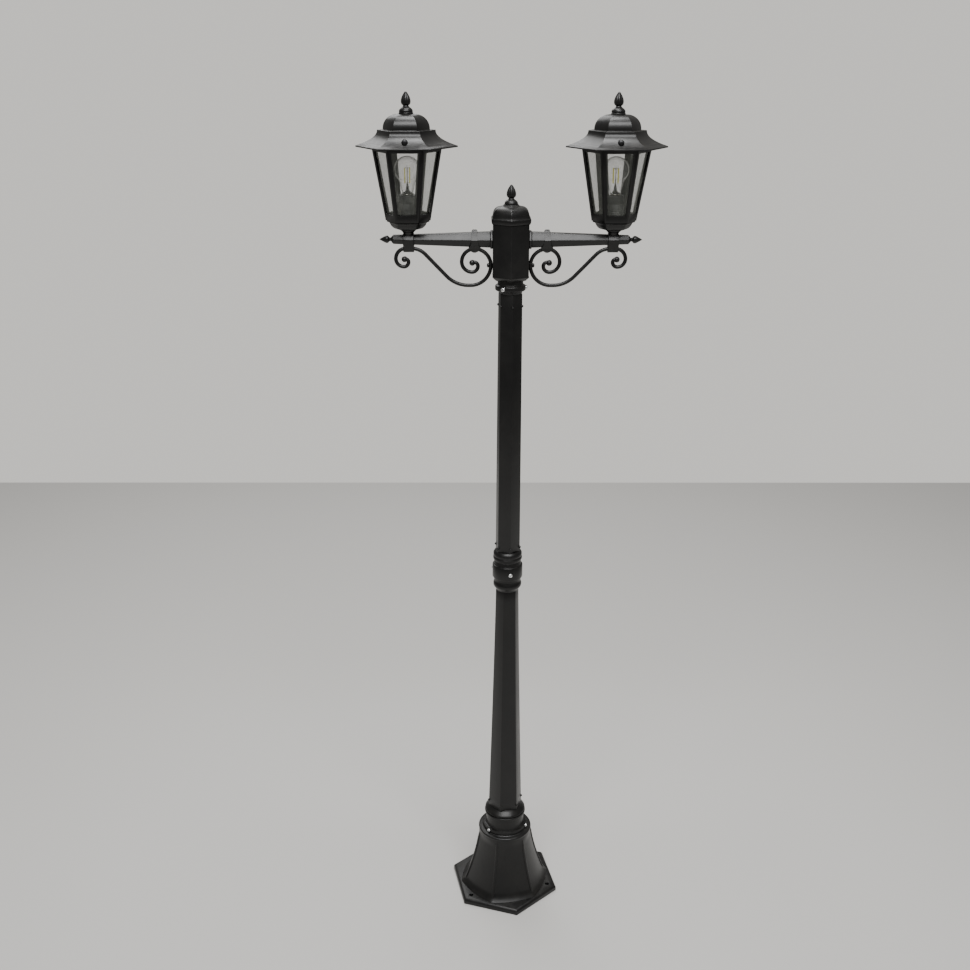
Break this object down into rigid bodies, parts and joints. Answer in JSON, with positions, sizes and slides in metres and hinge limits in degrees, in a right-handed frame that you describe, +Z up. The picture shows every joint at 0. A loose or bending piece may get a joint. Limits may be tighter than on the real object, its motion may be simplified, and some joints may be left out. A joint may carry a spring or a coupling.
{
  "type": "twin lantern lamp post",
  "caption": "Cast lamp post with a hexagonal flanged base, a two-stage six-sided column, two scrolled arms and two glazed six-sided lanterns.",
  "frame": {"origin": "centre of the floor flange's underside", "axes": "+Z up the post, X along the two arms, -Y towards the front"},
  "size_m": [0.7052, 0.2994, 2.15],
  "materials": {
    "black_powder_coat": "satin black powder coat over cast aluminium, fine orange-peel texture",
    "zinc_screw": "bright zinc-plated button-head set screws",
    "zinc_nut": "zinc-plated steel nuts",
    "black_fastener": "black oxide screws",
    "grey_nylon": "moulded grey nylon gland",
    "white_plastic": "moulded terminal block",
    "black_cable": "black rubber-sheathed cable",
    "brown_wire": "brown insulated wire",
    "pane_glass": "clear flat glass",
    "holder_plastic": "dark moulded lamp holder",
    "bulb_glass": "clear blown bulb glass",
    "filament_yellow": "yellow phosphor filament rods on a glass stem",
    "nickel_cap": "nickel-plated screw shell and contact"
  },
  "bodies": {
    "post": {"base_casting": "black_powder_coat", "base_screws": "zinc_screw", "base_gland": "grey_nylon", "trim_ring": "black_powder_coat", "lower_post": "black_powder_coat", "mid_lower_ring": "black_powder_coat", "mid_sleeve": "black_powder_coat", "mid_screws": "zinc_screw", "mid_upper_ring": "black_powder_coat", "upper_post": "black_powder_coat", "top_collar": "black_powder_coat", "top_screws": "zinc_screw", "head_casing": "black_powder_coat", "head_cap": "black_powder_coat", "head_finial": "black_powder_coat", "arm_nuts": "zinc_nut", "terminal_block": "white_plastic", "supply_cable": "black_cable", "left_arm": "black_powder_coat", "left_arm_plate": "black_powder_coat", "left_arm_tip": "black_powder_coat", "left_scroll": "black_powder_coat", "left_scroll_clip": "black_powder_coat", "left_scroll_bolt": "black_fastener", "left_saddle": "black_powder_coat", "left_bowl": "black_powder_coat", "left_frame": "black_powder_coat", "left_panes": "pane_glass", "left_lamp_holder": "holder_plastic", "left_lead": "brown_wire", "right_arm": "black_powder_coat", "right_arm_plate": "black_powder_coat", "right_arm_tip": "black_powder_coat", "right_scroll": "black_powder_coat", "right_scroll_clip": "black_powder_coat", "right_scroll_bolt": "black_fastener", "right_saddle": "black_powder_coat", "right_bowl": "black_powder_coat", "right_frame": "black_powder_coat", "right_panes": "pane_glass", "right_lamp_holder": "holder_plastic", "right_lead": "brown_wire"},
    "left_roof_lid": {"left_roof": "black_powder_coat", "left_roof_finial": "black_powder_coat", "left_roof_screws": "black_fastener", "left_roof_nuts": "zinc_nut"},
    "left_bulb_foot": {"left_bulb_contact": "nickel_cap"},
    "left_bulb": {"left_bulb_glass": "bulb_glass", "left_bulb_filaments": "filament_yellow", "left_bulb_shell": "nickel_cap"},
    "right_roof_lid": {"right_roof": "black_powder_coat", "right_roof_finial": "black_powder_coat", "right_roof_screws": "black_fastener", "right_roof_nuts": "zinc_nut"},
    "right_bulb_foot": {"right_bulb_contact": "nickel_cap"},
    "right_bulb": {"right_bulb_glass": "bulb_glass", "right_bulb_filaments": "filament_yellow", "right_bulb_shell": "nickel_cap"}
  },
  "joints": [
    {"name": "left_roof_lift", "type": "slide", "parent": "post", "child": "left_roof_lid", "axis": [0, 0, 1], "range_m": [0, 0.12]},
    {"name": "left_bulb_rise", "type": "slide", "parent": "post", "child": "left_bulb_foot", "axis": [0, 0, 1], "range_m": [0, 0.0146]},
    {"name": "left_bulb_turn", "type": "hinge", "parent": "left_bulb_foot", "child": "left_bulb", "pos_m": [-0.237, 0, 1.98], "axis": [0, 0, 1], "range_deg": [0, 1440]},
    {"name": "right_roof_lift", "type": "slide", "parent": "post", "child": "right_roof_lid", "axis": [0, 0, 1], "range_m": [0, 0.12]},
    {"name": "right_bulb_rise", "type": "slide", "parent": "post", "child": "right_bulb_foot", "axis": [0, 0, 1], "range_m": [0, 0.0146]},
    {"name": "right_bulb_turn", "type": "hinge", "parent": "right_bulb_foot", "child": "right_bulb", "pos_m": [0.237, 0, 1.98], "axis": [0, 0, 1], "range_deg": [0, 1440]}
  ],
  "couplings": [
    {"joint": "left_bulb_rise", "follows": "left_bulb_turn", "m_per_rad": 0.00057751},
    {"joint": "right_bulb_rise", "follows": "right_bulb_turn", "m_per_rad": 0.00057751}
  ]
}
